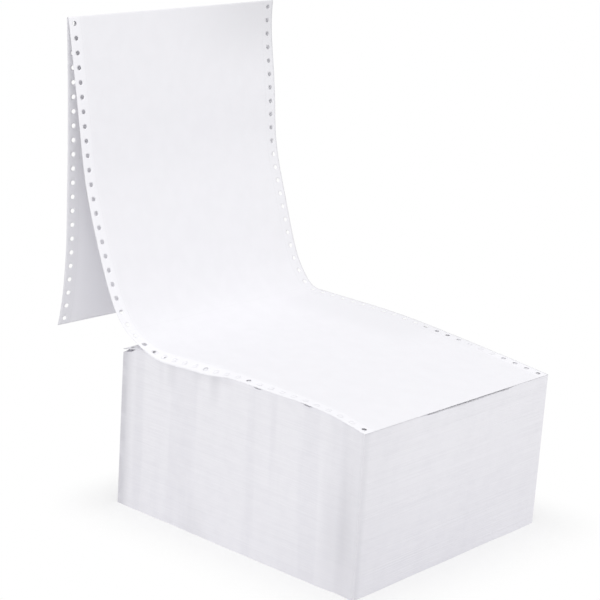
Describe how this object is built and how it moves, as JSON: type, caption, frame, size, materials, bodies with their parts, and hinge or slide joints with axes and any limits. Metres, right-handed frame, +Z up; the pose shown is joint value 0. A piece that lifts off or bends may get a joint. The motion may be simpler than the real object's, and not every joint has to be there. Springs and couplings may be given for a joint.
{
  "type": "continuous form paper stack",
  "caption": "Fan-folded stack of plain tractor-feed paper with its last two pages drawn up and folded over behind.",
  "frame": {"origin": "middle of the stack's underside, where the closed stack rests", "axes": "+Z up, +X across the web from margin to margin, +Y from the front folds to the back folds where the web is drawn up"},
  "size_m": [0.2414, 0.3656, 0.4223],
  "materials": {
    "paper": "matt uncoated bond"
  },
  "bodies": {
    "root": {"continuous_form": "paper"}
  },
  "joints": []
}
